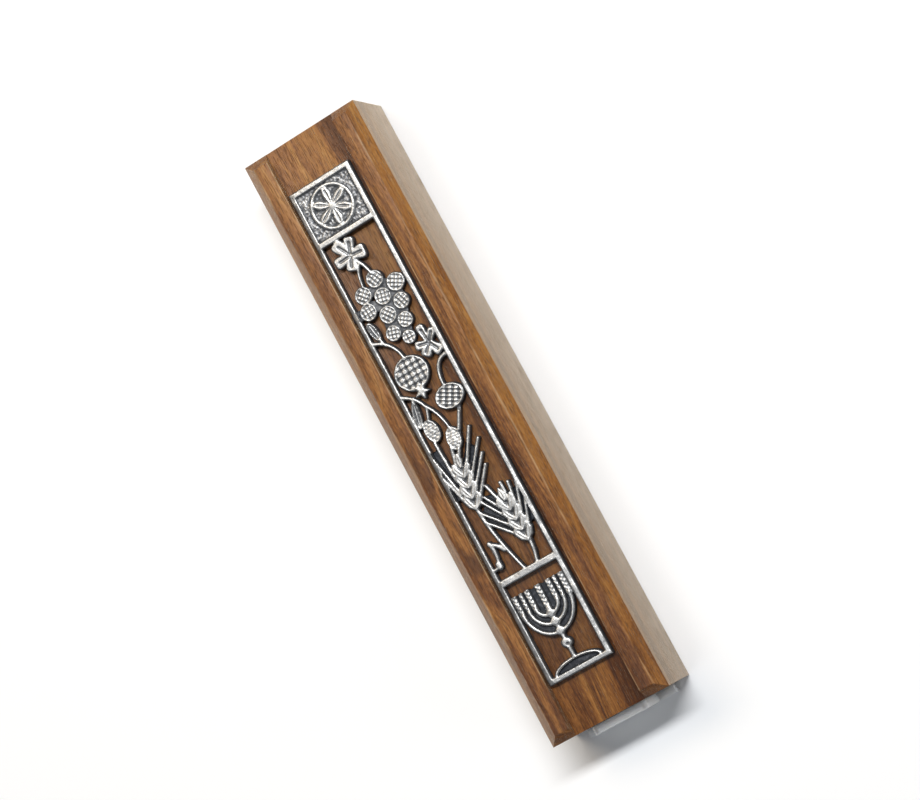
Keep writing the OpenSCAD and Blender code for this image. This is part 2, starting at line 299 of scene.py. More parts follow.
# Linear colours
GROWTH_LINE = (0.050, 0.018, 0.008)
PORE = (0.045, 0.017, 0.007)
# The next four stand for light: painted shade under the plaque, a painted edge highlight, and painted glare
# on the long sides and the left chamfer
UNDER_PLAQUE_SHADE = (0.040, 0.018, 0.009)
EDGE_HIGHLIGHT = (0.56, 0.38, 0.20)
SIDE_GLARE = (0.46, 0.35, 0.235)
LEFT_CHAMFER_GLARE = (0.56, 0.46, 0.37)
END_GRAIN = (0.05, 0.022, 0.010)


def wood_grain(n, place):
    """The fields that the wood is made from, from 0 to 1, and the distance from the pith."""
    sway = n.noise(n.drawn_out(place, 0.22), 0.07, 2.0, 0.5)
    across = n.vector("MULTIPLY", n.vector("SUBTRACT", place, PITH), (1.0, 0, 1.0))
    radius = n.plus(n.vector("LENGTH", across, (0, 0, 0)), n.times(sway, 6.0))
    return SimpleNamespace(
        sway=sway, radius=radius,
        rings=n.noise_1d(radius, 0.36, 3.0, 0.6),
        late_wood=n.noise_1d(radius, 1.9, 3.0, 0.65),
        fibre=n.noise(n.drawn_out(place, 0.016), 4.5, 3.0, 0.6),
        fleck=n.noise(n.drawn_out(place, 0.14), 0.55, 2.0, 0.5),
        speckle=n.noise(n.drawn_out(place, 0.26), 3.2, 3.0, 0.75),
        pores=n.spread(n.noise(n.drawn_out(place, 0.055), 6.5, 1.0, 0.4), 0.57, 0.68))


def wood_figure(n, grain, x, y):
    """Colour through the block, with its growth lines and pores, and painted light falloff."""
    tone = n.weigh(
        0.55, (grain.rings, 1.1), (grain.late_wood, 0.5), (grain.fibre, 0.5), (grain.fleck, 0.45),
        (grain.speckle, 0.75))
    # Painted light falloff: the board is darkened towards its foot, and in one broad band along its right
    # side, where less light falls
    tone = n.plus(tone, n.times(y, 0.0012))
    off_shaded_band = n.away(n.plus(x, n.times(grain.sway, 3.0)), SHADED_BAND_X)
    tone = n.math("SUBTRACT", tone, n.spread(off_shaded_band, 0.5, 4.5, 0.24, 0.0))
    colour = n.ramp(tone, [
        (0.10, (0.058, 0.019, 0.006)), (0.36, (0.138, 0.048, 0.012)),
        (0.60, (0.260, 0.103, 0.023)), (0.80, (0.345, 0.155, 0.039)), (1.00, (0.420, 0.215, 0.066))])
    # Thin dark growth lines, clearest towards the foot
    off_line = n.away(n.noise_1d(grain.radius, 0.85, 2.0, 0.5), 0.47)
    line = n.times(n.spread(off_line, 0.004, 0.022, 1.0, 0.0), n.spread(grain.fleck, 0.38, 0.56))
    colour = n.stain(colour, GROWTH_LINE, line, n.spread(y, -60.0, 20.0, 0.80, 0.45))
    # Pores are short fine dashes along the grain, and dots on the end grain
    return n.stain(colour, PORE, grain.pores, 0.55)


def wood_painted_light_and_end_grain(n, grain, colour, x, y, z):
    """The colour with painted shade under the plaque, painted highlights and glare, and darker end grain."""
    # Painted shade: the bottom of the channel is darkened where the plaque's frame surrounds it
    under_plaque_shade = n.times(
        n.spread(n.away(x, PLAQUE_X), HALF_W - 0.9, HALF_W + 0.1, 1.0, 0.0),
        n.spread(n.away(y, PLAQUE_Y), HALF_L - 1.5, HALF_L + 0.2, 1.0, 0.0))
    colour = n.stain(colour, UNDER_PLAQUE_SHADE, under_plaque_shade, 0.40)
    # Painted highlight: a pale line along the channel's upper edges and the chamfers' edges
    front = n.times(
        n.spread(z, CASE_FRONT - 0.4, CASE_FRONT - 0.1), n.spread(grain.fleck, 0.42, 0.62))
    for edge_x in (CHANNEL_HALF_W, CASE_HALF_W - CHAMFER_W):
        off_edge = n.away(n.size(x), edge_x)
        colour = n.stain(colour, EDGE_HIGHLIGHT, front, n.spread(off_edge, 0.05, 0.30, 0.52, 0.0))
    # Painted glare: the long sides are painted paler than the front, standing in for the glare they catch at
    # a grazing view
    normal = n.split(n.node("ShaderNodeNewGeometry").outputs["Normal"])
    side = n.times(
        n.spread(n.size(normal[0]), 0.80, 0.97),
        n.spread(n.size(x), CASE_HALF_W - 1.25, CASE_HALF_W - 0.45))
    colour = n.stain(colour, SIDE_GLARE, side, 0.50)
    # Painted glare: the left chamfer is painted paler, standing in for the glare it catches
    chamfer_x = CHAMFER_W - CASE_HALF_W
    left_chamfer_glare = n.times(
        n.spread(normal[0], -0.60, -0.40, 1.0, 0.0),
        n.spread(x, chamfer_x - 0.25, chamfer_x + 0.05, 1.0, 0.0))
    colour = n.stain(colour, LEFT_CHAMFER_GLARE, left_chamfer_glare, n.spread(grain.rings, 0.35, 0.65, 0.22, 0.34))
    # End grain drinks more oil and is darker
    return n.stain(colour, END_GRAIN, n.spread(n.size(normal[1]), 0.4, 0.9), 0.45)


def wood_material():
    """Oiled open-pored hardwood."""
    material, n = new_material("oiled_hardwood")
    place = n.millimetres()
    x, y, z = n.split(place)
    grain = wood_grain(n, place)
    colour = wood_painted_light_and_end_grain(n, grain, wood_figure(n, grain, x, y), x, y, z)
    relief = n.weigh(0.5, (grain.fibre, 0.4), (grain.pores, -1.0))
    n.surface(
        Base_Color=colour, Roughness=n.weigh(0.52, (grain.fibre, 0.25), (grain.pores, 0.20)),
        Normal=n.bump(relief, 0.00006), Specular_IOR_Level=0.28, Coat_Weight=0.05, Coat_Roughness=0.25,
        Sheen_Weight=0.65, Sheen_Roughness=0.30, Sheen_Tint=(1.0, 0.90, 0.72, 1))
    return material


# ---------------------------------------------------------------- other materials

def pewter_material():
    """Antiqued pewter: bright where tumbling has polished it, blackened in the recesses, and black on the
    sheets behind the awns as painted shadow.
    """
    material, n = new_material("antiqued_pewter")
    place = n.millimetres()
    polish_and_shade = n.node("ShaderNodeAttribute", attribute_name="polish_and_shade").outputs["Fac"]
    mottle = n.noise(place, 1.5, 3.0, 0.65)
    grain = n.noise(place, 7.0, 3.0, 0.65)
    brightness = n.plus(polish_and_shade, n.weigh(0.0, (mottle, 0.7), (grain, 0.4)))
    colour = n.ramp(brightness, [
        (0.0, (0.026, 0.029, 0.036)), (0.3, (0.150, 0.155, 0.166)),
        (0.65, (0.380, 0.380, 0.376)), (1.0, (0.560, 0.556, 0.543))])
    roughness = n.plus(n.spread(brightness, 0.0, 1.0, 0.60, 0.36), n.weigh(0.0, (grain, 0.25)))
    relief = n.weigh(0.5, (mottle, 1.0), (grain, 0.35))
    n.surface(
        Base_Color=colour, Metallic=n.spread(brightness, 0.0, 0.5, 0.4, 1.0), Roughness=roughness,
        Normal=n.bump(relief, 0.00005), Specular_IOR_Level=0.3)
    return material


def plastic_material():
    """Semi-gloss moulded white plastic with a fine texture and faint flow marks."""
    material, n = new_material("white_plastic")
    place = n.millimetres()
    fine = n.noise(place, 7.0, 2.0, 0.5)
    flow = n.noise(n.drawn_out(place, 0.1), 0.35, 2.0, 0.5)
    colour = n.mix(n.spread(flow, 0.35, 0.65), (0.88, 0.89, 0.87), (0.92, 0.92, 0.91))
    n.surface(
        Base_Color=colour, Roughness=n.spread(fine, 0.3, 0.7, 0.20, 0.28), Normal=n.bump(fine, 0.00001),
        Specular_IOR_Level=0.85, Subsurface_Weight=0.7, Subsurface_Radius=(1.0, 0.95, 0.85),
        Subsurface_Scale=0.003)
    return material


def parchment_material():
    """Prepared skin: cream, faintly veined, with a dry matt face."""
    material, n = new_material("parchment")
    place = n.millimetres()
    cloud = n.noise(place, 0.25, 3.0, 0.6)
    follicles = n.noise(place, 6.0, 2.0, 0.6)
    veins = n.noise(place, 0.5, 4.0, 0.7, 1.5)
    colour = n.mix(n.spread(cloud, 0.3, 0.7), (0.70, 0.58, 0.40), (0.82, 0.73, 0.55))
    colour = n.mix(n.spread(veins, 0.56, 0.62, 0.0, 0.25), colour, (0.55, 0.42, 0.26))
    n.surface(
        Base_Color=colour, Roughness=n.spread(follicles, 0.3, 0.7, 0.62, 0.78),
        Normal=n.bump(follicles, 0.00004))
    return material


def film_material():
    """Thin translucent film with soft wrinkles."""
    material, n = new_material("wrap_film")
    wrinkles = n.noise(n.drawn_out(n.millimetres(), 0.35), 0.8, 3.0, 0.6, 0.6)
    n.surface(
        Base_Color=(0.93, 0.95, 0.96, 1), Roughness=n.spread(wrinkles, 0.3, 0.7, 0.18, 0.34),
        Normal=n.bump(wrinkles, 0.0003), Alpha=0.3, IOR=1.49)
    return material


# ---------------------------------------------------------------- placing a piece

def place_piece(name, mesh, material, body, slot, *nodes):
    """Puts a mesh in the scene as a piece that rides on a body and stands for CAD nodes."""
    mesh.materials.clear()
    mesh.materials.append(material)
    piece = bpy.data.objects.new(name, mesh)
    bpy.context.scene.collection.objects.link(piece)
    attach(piece, body)
    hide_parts(*nodes)
    return piece


# ---------------------------------------------------------------- plaque relief

def curve(start, pull, end, steps=10):
    """Points from start to end, drawn towards pull."""
    s = np.linspace(0, 1, steps + 1)[:, None]
    a, b, c = (np.array(p, float) for p in (start, pull, end))
    return (1 - s) ** 2 * a + 2 * s * (1 - s) * b + s ** 2 * c


def lower_half(mid_y, rx, ry, steps=24):
    """Points along the lower half of an ellipse on the plaque's centre line."""
    a = np.linspace(0, math.pi, steps + 1)
    return np.stack([-rx * np.cos(a), mid_y - ry * np.sin(a)], 1)


def polar(angle, r):
    return np.array([math.cos(math.radians(angle)), math.sin(math.radians(angle))]) * r


def smooth_step(value, low, high):
    s = np.clip((value - low) / (high - low), 0, 1)
    return s * s * (3 - 2 * s)


def dome(across):
    """Round section: 1 on the ridge, 0 at across = 1."""
    return np.sqrt(np.clip(1 - across ** 2, 0, 1))


def loaf(across):
    """Flat-topped section with rounded shoulders: 1 on the ridge, 0 at across = 1."""
    return np.sqrt(np.clip(1 - np.abs(across) ** 4, 0, 1))


def studs(x, y, pitch_x, pitch_y, angle=0.0, crisp=0.45):
    """Rows of small cushions, from 0 in the grooves to 1 on top. A low crisp makes the grooves narrow."""
    c, s = math.cos(math.radians(angle)), math.sin(math.radians(angle))
    u, v = (x * c + y * s) / pitch_x, (y * c - x * s) / pitch_y
    return np.abs(np.cos(math.pi * u) * np.cos(math.pi * v)) ** crisp


def from_line(x, y, a, b):
    """(distance, share of the way along) of each point from the line from a to b."""
    d = np.subtract(b, a)
    share = np.clip(((x - a[0]) * d[0] + (y - a[1]) * d[1]) / (d @ d), 0, 1)
    return np.hypot(x - a[0] - share * d[0], y - a[1] - share * d[1]), share


def blur(field, reach, times):
    """Mean over a square of side 2 * reach + 1, a few times over."""
    for _ in range(times):
        for axis in (0, 1):
            margins = [(reach, reach) if i == axis else (0, 0) for i in (0, 1)]
            padded = np.pad(field, margins, mode="edge")
            width = 2 * reach + 1
            parts = [np.take(padded, range(k, k + field.shape[axis]), axis) for k in range(width)]
            field = sum(parts) / width
    return field


def sample(field, row, column):
    """Bilinear value of a grid between its points."""
    i, j = int(row), int(column)
    s, t = row - i, column - j
    top = field[i, j] * (1 - t) + field[i, j + 1] * t
    low = field[i + 1, j] * (1 - t) + field[i + 1, j + 1] * t
    return top * (1 - s) + low * s


class Casting:
    """A cast sheet on a grid, called c below.

    It holds how far each point lies outside the outline, how high its face is, and how dark its
    sunk grounds are.
    """

    def __init__(self):
        margin = 3 * STEP
        self.xs = np.arange(-HALF_W - margin, HALF_W + margin, STEP)
        self.ys = np.arange(-HALF_L - margin, HALF_L + margin, STEP)
        self.x, self.y = np.meshgrid(self.xs, self.ys)
        self.outside = np.full(self.x.shape, FAR)
        self.height = np.zeros(self.x.shape)
        self.hollow = np.zeros(self.x.shape)

    def rows(self, low, high):
        """The grid's rows from low to high along Y, and a little to either side."""
        return slice(*np.searchsorted(self.ys, (low - ROW_MARGIN, high + ROW_MARGIN)))

    def add(self, rows, outside, height):
        """Melts a shape into the casting. Its edge height runs on a little way over empty points."""
        was = self.height[rows]
        filled = self.outside[rows] <= 0
        inside = outside <= 0
        merged = np.where(inside | ((outside < RUN_ON) & ~filled), np.maximum(was, height), was)
        self.height[rows] = np.where(inside & ~filled, height, merged)
        self.outside[rows] = np.minimum(self.outside[rows], outside)

    def darken(self, rows, inside, share):
        """Marks a sunk ground as dark where inside is 1: patina that polishing never reached on the lamp's
        grounds, painted shadow on the sheets behind the awns.
        """
        self.hollow[rows] = np.maximum(self.hollow[rows], inside * share)

    def sink(self, rows, inside, ground):
        """Lowers the face to the ground height where inside is 1."""
        self.height[rows] = self.height[rows] * (1 - inside) + ground * inside

    def bar(self, path, widths, top, edge, groove=0.0):
        """A rounded bar along a path. widths are its full width at the start and the end."""
        path = np.asarray(path, float)
        rows = self.rows(path[:, 1].min(), path[:, 1].max())
        x, y = self.x[rows], self.y[rows]
        radii = np.interp(np.linspace(0, 1, len(path)), np.linspace(0, 1, len(widths)), widths) / 2
        outside = np.full(x.shape, FAR)
        across = np.full(x.shape, FAR)
        for a, b, ra, rb in zip(path, path[1:], radii, radii[1:]):
            away, share = from_line(x, y, a, b)
            r = ra + (rb - ra) * share
            closer = away - r < outside
            outside = np.where(closer, away - r, outside)
            across = np.where(closer, away / r, across)
        height = edge + (top - edge) * loaf(across)
        if groove:
            height = height - groove * np.exp(-(across / 0.15) ** 2)
        self.add(rows, outside, height)

    def oval(self, mid, rx, ry, tilt=0.0):
        """(rows, how far outside, x and y from the middle) of an ellipse."""
        reach = max(rx, ry)
        rows = self.rows(mid[1] - reach, mid[1] + reach)
        c, s = math.cos(math.radians(tilt)), math.sin(math.radians(tilt))
        dx, dy = self.x[rows] - mid[0], self.y[rows] - mid[1]
        u, v = dx * c + dy * s, dy * c - dx * s
        k = np.hypot(u / rx, v / ry) + 1e-6
        slope = np.hypot(u / rx ** 2, v / ry ** 2) + 1e-6
        return rows, k * (k - 1) / slope, u, v

    def box(self, low, high):
        """(rows, how far outside) of a rectangle."""
        rows = self.rows(low[1], high[1])
        mid = (np.array(low) + np.array(high)) / 2
        half = (np.array(high) - np.array(low)) / 2
        dx = np.abs(self.x[rows] - mid[0]) - half[0]
        dy = np.abs(self.y[rows] - mid[1]) - half[1]
        return rows, np.hypot(np.maximum(dx, 0), np.maximum(dy, 0)) + np.minimum(np.maximum(dx, dy), 0)

    def polygon(self, corners):
        """(rows, how far outside) of a polygon."""
        corners = np.array(corners, float)
        rows = self.rows(corners[:, 1].min(), corners[:, 1].max())
        x, y = self.x[rows], self.y[rows]
        away = np.full(x.shape, FAR)
        odd = np.zeros(x.shape, bool)
        for a, b in zip(corners, np.roll(corners, -1, 0)):
            away = np.minimum(away, from_line(x, y, a, b)[0])
            if a[1] != b[1]:
                # A point is inside where a line from it to the right crosses an odd number of sides
                spans = (a[1] > y) != (b[1] > y)
                crossing = a[0] + (y - a[1]) * (b[0] - a[0]) / (b[1] - a[1])
                odd ^= spans & (x < crossing)
        return rows, np.where(odd, -away, away)

    def sheet(self, corners, top):
        """A thin flat web inside a polygon, painted black all over as shadow."""
        rows, outside = self.polygon(corners)
        self.add(rows, outside, np.full(outside.shape, top))
        self.darken(rows, smooth_step(outside, 0.3, 0.1), 1.0)

    def score(self, a, b, width, depth):
        """Cuts a round-bottomed line from a to b."""
        rows = self.rows(min(a[1], b[1]), max(a[1], b[1]))
        away, _ = from_line(self.x[rows], self.y[rows], a, b)
        self.height[rows] -= depth * np.exp(-(2 * away / width) ** 2)

    def block(self, low, high, top, edge=None, soft=0.3):
        """A flat-topped block with rounded upper edges."""
        rows, outside = self.box(low, high)
        edge = top - 0.3 if edge is None else edge
        self.add(rows, outside, edge + (top - edge) * dome(1 + np.clip(outside / soft, -1, 0)))

    def button(self, mid, rx, ry, top, edge):
        """A domed oval boss."""
        rows, outside, _, _ = self.oval(mid, rx, ry)
        self.add(rows, outside, edge + (top - edge) * loaf(1 + np.clip(outside / min(rx, ry), -1, 0)))

    def rimmed(self, mid, rx, ry, rim, face, tilt=0.0, top=TOP - 0.1, edge=1.1):
        """An oval with a raised round rim and a patterned face, which takes (u, v, share of the radius)."""
        rows, outside, u, v = self.oval(mid, rx, ry, tilt)
        ring = edge + (top - edge) * dome((outside + rim / 2) / (rim / 2))
        inner = face(u, v, np.hypot(u / rx, v / ry))
        height = np.where(outside < -rim / 2, np.maximum(inner, ring), ring)
        self.add(rows, outside, height)


def frame_bars(c):
    c.block((-HALF_W, -HALF_L), (-HALF_W + SIDE_BAR, HALF_L), TOP)
    c.block((HALF_W - SIDE_BAR, -HALF_L), (HALF_W, HALF_L), TOP)
    # The side bars are a little wider along the two end panels
    for low, high in ((UPPER_BAR[0], HALF_L), (-HALF_L, LOWER_BAR[1])):
        c.block((-HALF_W, low), (-HALF_W + END_BAR, high), TOP)
        c.block((HALF_W - END_BAR, low), (HALF_W, high), TOP)
    for low, high in (UPPER_BAR, LOWER_BAR, (HALF_L - END_BAR, HALF_L), (-HALF_L, -HALF_L + END_BAR)):
        c.block((-HALF_W, low), (HALF_W, high), TOP)
    # The frame falls away a little towards its outer edge
    from_edge = np.minimum(HALF_W - np.abs(c.x), HALF_L - np.abs(c.y))
    c.height -= EDGE_FALL * np.clip(1 - from_edge / END_BAR, 0, 1)
    c.height -= LEFT_FALL * np.clip(1 - (c.x + HALF_W) / SIDE_BAR, 0, 1)


def stippled_panel(c, rng):
    """Sunk ground of the top panel, with hammered stipples, and a six-petalled rosette on it."""
    low, high = UPPER_BAR[1], HALF_L - END_BAR
    # The ground runs on under the frame's bars
    margin = 0.4
    rows, outside = c.box((-HALF_W + margin, low - margin), (HALF_W - margin, high + margin))
    stipple = np.zeros(outside.shape)
    xs = rng.uniform(-6.7, 6.7, STIPPLES)
    ys = rng.uniform(low, high, STIPPLES)
    sizes = rng.uniform(0.13, 0.24, STIPPLES)
    for x, y, size in zip(xs, ys, sizes):
        away = (c.x[rows] - x) ** 2 + (c.y[rows] - y) ** 2
        stipple = np.maximum(stipple, np.exp(-away / size ** 2))
    c.add(rows, outside, PANEL_GROUND + 0.24 * stipple)
    mid = (0.0, (low + high) / 2)
    radius = 4.6
    ring = [mid + polar(a, radius + 0.15) for a in range(0, 361, 10)]
    c.bar(ring, (0.95, 0.95), TOP - 0.05, 1.25)
    for i in range(6):
        angle = 90 + 60 * i
        petal = [mid + polar(angle, radius * share) for share in (0.14, 0.38, 0.62, 0.80, 0.94)]
        c.bar(petal, (0.8, 1.8, 2.4, 1.9, 0.8), TOP, 1.3, groove=0.28)
    c.button(mid, 1.0, 1.0, TOP, 1.2)


def lobe(mid, angle, length, half_w):
    """Outline of a fan-shaped lobe, from its narrow foot to its blunt tip."""
    # Points of one side, as shares of the length and of the half width
    upper = np.array([(0, 0.65), (0.4, 0.85), (0.7, 1.05), (0.9, 1.0), (1.0, 0.65)]) * (length, half_w)
    u, v = np.concatenate([upper, upper[::-1] * (1, -1)]).T
    along, across = polar(angle, 1), polar(angle + 90, 1)
    return np.array(mid) + u[:, None] * along + v[:, None] * across


def vine_leaf(c, mid, lobes):
    """Lobes round a middle, with a vein cut into each. lobes are (angle, length, half width)."""
    edge, top, shoulder = 1.35, TOP - 0.05, 0.4
    for angle, length, half_w in lobes:
        rows, outside = c.polygon(lobe(mid, angle, length, half_w))
        c.add(rows, outside, edge + (top - edge) * loaf(1 + np.clip(outside / shoulder, -1, 0)))
    for angle, length, half_w in lobes:
        c.score(mid + polar(angle, length * 0.1), mid + polar(angle, length * 0.7), width=0.42, depth=0.34)


def grape(c, x, y, r, turn):
    """A round berry. Its face is a net of studs, turned by that angle."""
    def face(u, v, share):
        return 1.26 + 0.32 * studs(u, v, 0.86, 0.86, turn) + 0.12 * (1 - share ** 2)
    c.rimmed((x, y), r, r, 0.45, face, top=TOP - 0.2)


def narrow_leaf(c, mid, half_l, half_w, angle):
    """A narrow oval leaf with a raised midrib."""
    def face(u, v, share):
        return 1.34 + 0.4 * np.exp(-(v / 0.17) ** 2)
    c.rimmed(mid, half_l, half_w, 0.5, face, tilt=angle, top=TOP - 0.05, edge=1.25)


def pomegranate(c, mid, rx, ry, pitch, shift, turn):
    """An oval fruit. Its face is a net of cushions, which shift and turn move into place."""
    def face(u, v, share):
        cushions = smooth_step(studs(u - shift[0], v - shift[1], *pitch, turn, 1.0), 0.03, 0.32)
        return 1.3 + 0.4 * cushions * smooth_step(share, 1.02, 0.88)
    c.rimmed(mid, rx, ry, 0.66, face)


def olive(c, mid, tilt):
    """A small oval fruit with faint wavy ribs."""
    def face(u, v, share):
        ribs = studs(u + 0.35 * np.sin(4.2 * v), v, 1.15, 0.62, 0, 0.6)
        return 1.49 + 0.14 * ribs + 0.10 * (1 - share ** 2)
    c.rimmed(mid, 1.75, 2.65, 0.4, face, tilt=tilt, top=TOP - 0.1)


def crown(c, mid):
    """The five-pointed crown at the end of a pomegranate."""
    for i in range(5):
        tip = mid + polar(-90 + 72 * i, 1.6)
        c.bar([mid, tip], (1.8, 0.5), TOP - 0.05, 1.25)


# Points of a grain of wheat, as (up the stalk, out from it)
WHEAT_GRAIN = ((0.0, 0.1), (1.0, 0.85), (2.1, 1.45), (3.1, 1.6))


def wheat_ear(c, foot, angle, pitch, pairs=4):
    """Plump grains in pairs up a stalk, each with a crease, and one grain at the tip."""
    along = polar(angle, 1)
    c.bar([foot - along * 0.5, foot + along * pitch * pairs], (0.8, 0.6), TOP - 0.45, 1.1)
    for i in reversed(range(pairs)):
        for flip in (-1, 1):
            out = polar(angle + flip * 90, 1)
            start = foot + along * pitch * i
            grain = [start + along * a + out * b for a, b in WHEAT_GRAIN]
            c.bar(grain, (0.9, 1.75, 1.6, 0.6), TOP, 1.2, groove=0.10)
    tip = foot + along * pitch * pairs
    c.bar([tip, tip + along * 1.3, tip + along * 2.6], (0.9, 1.7, 0.6), TOP, 1.45, groove=0.10)


def candle_cup(c, x, low, high, width):
    """A cup of plaited metal, whose strands slant down to its middle."""
    pitch, slant = 0.95, 0.28
    rows, outside = c.box((x - width / 2, low), (x + width / 2, high))
    u, v = (c.x[rows] - x) / (width / 2), c.y[rows] - low
    strand = np.abs(np.sin(math.pi * (v / pitch + slant * u)))
    plait = np.abs(np.sin(math.pi * (v / pitch - slant * u + 0.5)))
    height = 1.2 + (0.3 + 0.16 * np.where(u < 0, strand, plait)) * loaf(0.95 * u)
    c.add(rows, outside, height)


def lamp(c):
    """Seven-branched lamp: plaited cups, nested arms on a sunk ground, a knopped stem and an arched base."""
    bend, top = -43.5, -39.0
    # Each arm's reach to the side and its drop below the bend
    arms = ((2.6, 2.3), (4.1, 4.2), (5.65, 6.4))
    # Cups as (x, width), and knops on the stem as (y, radius)
    cups = ((-5.65, 1.2), (-4.1, 1.0), (-2.6, 1.35), (0, 1.5), (2.6, 1.35), (4.1, 1.0), (5.65, 1.35))
    knops = ((-45.6, 1.15), (-47.5, 1.2), (-49.7, 1.2), (-52.5, 1.3))
    rx, ry = arms[-1]
    rows, fan, _, _ = c.oval((0, bend), rx, ry)
    below = np.where(c.y[rows] < bend, fan, FAR)
    c.add(rows, below, np.full(below.shape, GROUND))
    c.block((-rx, bend - 0.3), (rx, top - 0.25), GROUND, GROUND)
    rows, outside = c.box((-rx - 0.5, bend - ry), (rx + 0.5, top))
    c.darken(rows, smooth_step(-outside, -0.1, 0.1), 0.55)
    for reach, drop in arms:
        c.bar(lower_half(bend, reach, drop), (0.95, 0.95), TOP - 0.05, 1.2)
    for x, width in cups:
        candle_cup(c, x, bend - 0.5, top, width)
    foot = -HALF_L + END_BAR
    base_reach, rise = 5.4, 1.9
    c.bar([(0, bend - 1), (0, bend - ry), (0, foot + rise)], (1.5, 1.0, 1.0), TOP - 0.1, 1.25)
    for y, r in knops:
        c.button((0, y), r, r * 0.9, TOP, 1.3)
    # A small dimple in the lowest knop
    rows, outside, _, _ = c.oval((0.15, -52.9), 0.4, 0.4)
    c.sink(rows, smooth_step(-outside, 0, 0.2), 1.5)
    rows, outside, _, _ = c.oval((0, foot - 0.1), base_reach, rise)
    above = np.where(c.y[rows] > foot - 0.5, outside, FAR)
    c.add(rows, above, np.full(above.shape, GROUND))
    c.darken(rows, smooth_step(-above, -0.1, 0.1), 0.5)
    c.bar(lower_half(foot - 0.1, base_reach, -rise), (0.8, 0.8), TOP - 0.1, 1.05)


# Stems as (start, point that the curve is drawn towards, end, width)
STEMS = (
    ((-1.4, 39.6), (-0.1, 38.2), (0.5, 35.4), 0.95), ((-0.9, 38.6), (-2.4, 37.2), (-2.6, 33.6), 0.75),
    ((-7.0, 22.2), (-2.6, 20.7), (-2.0, 16.2), 0.9), ((-4.8, 22.4), (-4.6, 21.6), (-4.3, 20.4), 0.75),
    ((7.0, 12.6), (2.9, 12.9), (2.9, 6.7), 0.9), ((-7.0, 9.2), (-3.6, 7.7), (-2.8, 4.5), 0.9),
    ((-4.9, 7.2), (-4.7, 7.6), (-4.4, 7.8), 0.75), ((-2.8, 5.0), (-3.1, 3.6), (-3.9, 1.8), 0.75),
    ((-2.8, 4.9), (-0.7, 2.2), (-0.4, -1.9), 0.8), ((-3.6, -18.8), (-3.5, -25.0), (-0.3, -35.2), 0.95),
    ((3.5, -29.6), (3.5, -32.6), (2.4, -35.3), 0.95), ((-2.4, -29.4), (-3.2, -27.8), (-5.0, -27.0), 1.1),
    ((-4.9, -26.8), (-4.2, -29.0), (-5.1, -32.1), 1.05), ((-5.0, -32.1), (-6.0, -32.3), (-7.0, -32.3), 0.85),
)
# Lobes of the two vine leaves, as (angle, length, half width)
UPPER_LOBES = ((119, 4.7, 1.45), (71, 4.1, 1.15), (-5, 3.5, 1.55), (246, 3.4, 1.25), (183, 4.1, 1.3))
LOWER_LOBES = ((96, 4.5, 0.95), (50, 3.3, 0.9), (168, 3.3, 1.0), (226, 3.1, 1.2), (-62, 3.3, 1.2))
# Grapes as (x, y, radius)
GRAPES = (
    (0.5, 34.0, 2.0), (-3.5, 32.1, 2.0), (4.3, 31.2, 2.1), (0.3, 29.9, 1.95), (-4.2, 28.5, 1.95),
    (3.5, 27.1, 1.9), (-0.6, 25.9, 2.0), (2.3, 23.2, 1.8), (-1.5, 21.9, 1.8), (1.2, 19.6, 1.6),
)
# Low links that hold the grapes together and to the frame
GRAPE_LINKS = (
    ((-3.5, 31.8), (0.4, 32.2)), ((0.4, 33.0), (4.0, 30.8)), ((-3.8, 29.6), (-0.4, 28.0)),
    ((0.3, 29.8), (3.3, 28.4)), ((3.9, 30.8), (3.4, 27.4)), ((-0.6, 27.5), (2.8, 25.2)),
    ((-1.0, 26.0), (-1.5, 22.4)), ((-1.2, 22.2), (2.2, 23.4)), ((2.1, 23.0), (1.2, 20.2)),
    ((-7.2, 28.8), (-4.2, 28.6)), ((0.3, 30.0), (1.0, 24.5)),
)
# Awns as (tip, foot). The low one passes behind the right-hand olive.
LOW_AWN = ((4.0, 2.2), (-1.9, -8.2))
AWN_WIDTHS = (0.74, 0.84)
AWNS = (
    ((3.15, 0.7), (1.2, -2.7)), ((-0.8, -6.3), (-1.9, -8.2)), ((3.4, -3.2), (-1.5, -11.0)),
    ((4.0, -6.3), (-1.4, -13.0)), ((3.2, -9.4), (-1.6, -15.2)), ((2.7, -11.9), (-1.9, -17.6)),
    ((-4.9, -2.75), (-4.6, -12.0)),
    ((-7.0, -5.4), (-5.0, -15.0)), ((-7.0, -10.0), (-5.0, -17.0)), ((-2.2, -5.4), (-3.4, -10.0)),
    ((0.5, -15.9), (2.1, -21.4)), ((-0.9, -17.9), (1.9, -22.6)), ((-2.0, -18.4), (2.0, -24.6)),
    ((-3.6, -20.0), (2.2, -26.6)), ((-3.4, -22.4), (2.3, -28.6)), ((3.6, -16.7), (3.6, -21.0)),
    ((5.2, -17.3), (4.5, -23.0)), ((7.0, -17.6), (4.6, -24.8)), ((7.0, -21.6), (4.8, -27.4)),
)
# Low sheets behind the awns, painted black all over as the shadow between them
AWN_SHADOW_SHEETS = (
    ((-1.6, -9.5), (1.1, -5.6), (2.2, -7.2), (1.9, -9.4), (1.4, -11.6), (-1.6, -16.8)),
    ((-7.2, -4.4), (-4.8, -4.0), (-4.4, -11.0), (-5.0, -16.2), (-7.2, -15.6)),
    ((-2.9, -20.4), (-0.8, -17.6), (0.7, -17.9), (2.0, -21.0), (2.2, -28.0), (-2.6, -23.2)),
    ((3.0, -19.2), (7.2, -18.8), (7.2, -26.6), (4.6, -27.0)),
)


